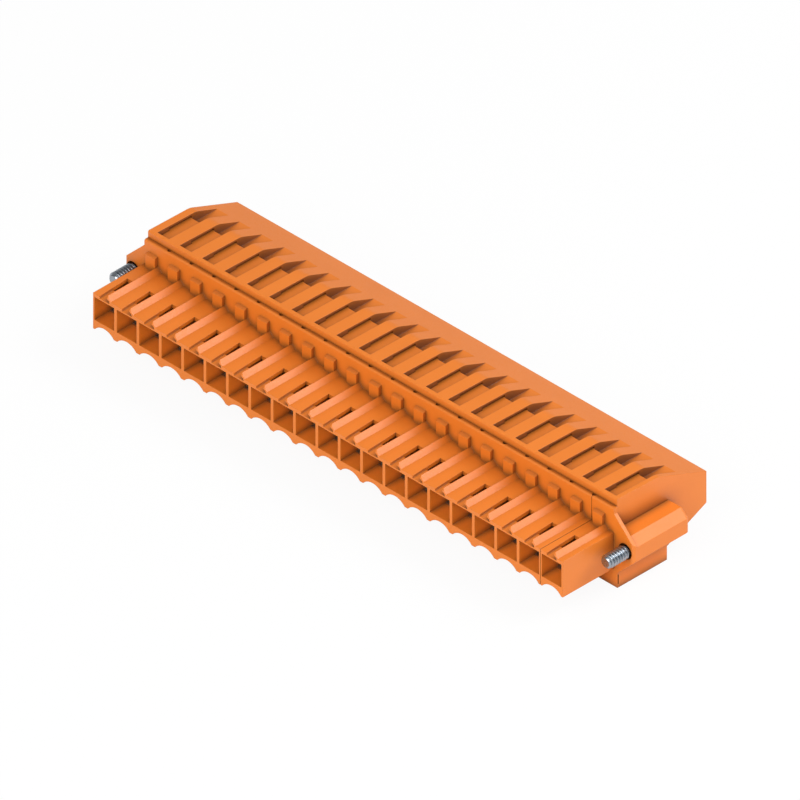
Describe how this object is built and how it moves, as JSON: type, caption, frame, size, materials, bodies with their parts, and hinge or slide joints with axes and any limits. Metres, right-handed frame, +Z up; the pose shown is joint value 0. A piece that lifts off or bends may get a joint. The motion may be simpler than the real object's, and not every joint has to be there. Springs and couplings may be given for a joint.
{
  "type": "pluggable terminal block",
  "caption": "Orange pluggable terminal block with a row of pin cavities, recessed release pushers and a captive screw in a flange at each end.",
  "frame": {"origin": "centre of the bounding box in X and Y, on the underside", "axes": "+X along the row of poles, -Y the mating direction, +Z up from the underside"},
  "size_m": [0.1156, 0.0326, 0.0165],
  "materials": {
    "housing": "matte",
    "pusher_plastic": "matte",
    "tinned_copper": "satin",
    "spring_steel": "satin",
    "zinc_steel": "satin"
  },
  "bodies": {
    "block": {"front_shell": "housing", "end_shell": "housing", "rear_housing": "housing", "clamp_springs": "spring_steel", "contact_01": "tinned_copper", "contact_02": "tinned_copper", "contact_03": "tinned_copper", "contact_04": "tinned_copper", "contact_05": "tinned_copper", "contact_06": "tinned_copper", "contact_07": "tinned_copper", "contact_08": "tinned_copper", "contact_09": "tinned_copper", "contact_10": "tinned_copper", "contact_11": "tinned_copper", "contact_12": "tinned_copper", "contact_13": "tinned_copper", "contact_14": "tinned_copper", "contact_15": "tinned_copper", "contact_16": "tinned_copper", "contact_17": "tinned_copper", "contact_18": "tinned_copper", "contact_19": "tinned_copper", "contact_20": "tinned_copper", "contact_21": "tinned_copper"},
    "body_pusher_01": {"pusher_01": "pusher_plastic"},
    "body_pusher_02": {"pusher_02": "pusher_plastic"},
    "body_pusher_03": {"pusher_03": "pusher_plastic"},
    "body_pusher_04": {"pusher_04": "pusher_plastic"},
    "body_pusher_05": {"pusher_05": "pusher_plastic"},
    "body_pusher_06": {"pusher_06": "pusher_plastic"},
    "body_pusher_07": {"pusher_07": "pusher_plastic"},
    "body_pusher_08": {"pusher_08": "pusher_plastic"},
    "body_pusher_09": {"pusher_09": "pusher_plastic"},
    "body_pusher_10": {"pusher_10": "pusher_plastic"},
    "body_pusher_11": {"pusher_11": "pusher_plastic"},
    "body_pusher_12": {"pusher_12": "pusher_plastic"},
    "body_pusher_13": {"pusher_13": "pusher_plastic"},
    "body_pusher_14": {"pusher_14": "pusher_plastic"},
    "body_pusher_15": {"pusher_15": "pusher_plastic"},
    "body_pusher_16": {"pusher_16": "pusher_plastic"},
    "body_pusher_17": {"pusher_17": "pusher_plastic"},
    "body_pusher_18": {"pusher_18": "pusher_plastic"},
    "body_pusher_19": {"pusher_19": "pusher_plastic"},
    "body_pusher_20": {"pusher_20": "pusher_plastic"},
    "body_pusher_21": {"pusher_21": "pusher_plastic"},
    "body_screw_left": {"flange_screw_left": "zinc_steel"},
    "body_screw_right": {"flange_screw_right": "zinc_steel"}
  },
  "joints": [
    {"name": "press_01", "type": "slide", "parent": "block", "child": "body_pusher_01", "axis": [0, 0, -1], "range_m": [0, 0.001], "stiffness_N_per_m": 2000},
    {"name": "press_02", "type": "slide", "parent": "block", "child": "body_pusher_02", "axis": [0, 0, -1], "range_m": [0, 0.001], "stiffness_N_per_m": 2000},
    {"name": "press_03", "type": "slide", "parent": "block", "child": "body_pusher_03", "axis": [0, 0, -1], "range_m": [0, 0.001], "stiffness_N_per_m": 2000},
    {"name": "press_04", "type": "slide", "parent": "block", "child": "body_pusher_04", "axis": [0, 0, -1], "range_m": [0, 0.001], "stiffness_N_per_m": 2000},
    {"name": "press_05", "type": "slide", "parent": "block", "child": "body_pusher_05", "axis": [0, 0, -1], "range_m": [0, 0.001], "stiffness_N_per_m": 2000},
    {"name": "press_06", "type": "slide", "parent": "block", "child": "body_pusher_06", "axis": [0, 0, -1], "range_m": [0, 0.001], "stiffness_N_per_m": 2000},
    {"name": "press_07", "type": "slide", "parent": "block", "child": "body_pusher_07", "axis": [0, 0, -1], "range_m": [0, 0.001], "stiffness_N_per_m": 2000},
    {"name": "press_08", "type": "slide", "parent": "block", "child": "body_pusher_08", "axis": [0, 0, -1], "range_m": [0, 0.001], "stiffness_N_per_m": 2000},
    {"name": "press_09", "type": "slide", "parent": "block", "child": "body_pusher_09", "axis": [0, 0, -1], "range_m": [0, 0.001], "stiffness_N_per_m": 2000},
    {"name": "press_10", "type": "slide", "parent": "block", "child": "body_pusher_10", "axis": [0, 0, -1], "range_m": [0, 0.001], "stiffness_N_per_m": 2000},
    {"name": "press_11", "type": "slide", "parent": "block", "child": "body_pusher_11", "axis": [0, 0, -1], "range_m": [0, 0.001], "stiffness_N_per_m": 2000},
    {"name": "press_12", "type": "slide", "parent": "block", "child": "body_pusher_12", "axis": [0, 0, -1], "range_m": [0, 0.001], "stiffness_N_per_m": 2000},
    {"name": "press_13", "type": "slide", "parent": "block", "child": "body_pusher_13", "axis": [0, 0, -1], "range_m": [0, 0.001], "stiffness_N_per_m": 2000},
    {"name": "press_14", "type": "slide", "parent": "block", "child": "body_pusher_14", "axis": [0, 0, -1], "range_m": [0, 0.001], "stiffness_N_per_m": 2000},
    {"name": "press_15", "type": "slide", "parent": "block", "child": "body_pusher_15", "axis": [0, 0, -1], "range_m": [0, 0.001], "stiffness_N_per_m": 2000},
    {"name": "press_16", "type": "slide", "parent": "block", "child": "body_pusher_16", "axis": [0, 0, -1], "range_m": [0, 0.001], "stiffness_N_per_m": 2000},
    {"name": "press_17", "type": "slide", "parent": "block", "child": "body_pusher_17", "axis": [0, 0, -1], "range_m": [0, 0.001], "stiffness_N_per_m": 2000},
    {"name": "press_18", "type": "slide", "parent": "block", "child": "body_pusher_18", "axis": [0, 0, -1], "range_m": [0, 0.001], "stiffness_N_per_m": 2000},
    {"name": "press_19", "type": "slide", "parent": "block", "child": "body_pusher_19", "axis": [0, 0, -1], "range_m": [0, 0.001], "stiffness_N_per_m": 2000},
    {"name": "press_20", "type": "slide", "parent": "block", "child": "body_pusher_20", "axis": [0, 0, -1], "range_m": [0, 0.001], "stiffness_N_per_m": 2000},
    {"name": "press_21", "type": "slide", "parent": "block", "child": "body_pusher_21", "axis": [0, 0, -1], "range_m": [0, 0.001], "stiffness_N_per_m": 2000},
    {"name": "turn_left", "type": "hinge", "parent": "block", "child": "body_screw_left", "pos_m": [-0.05588, 0, 0.00806], "axis": [0, 1, 0], "continuous": true},
    {"name": "turn_right", "type": "hinge", "parent": "block", "child": "body_screw_right", "pos_m": [0.05588, 0, 0.00806], "axis": [0, 1, 0], "continuous": true}
  ]
}
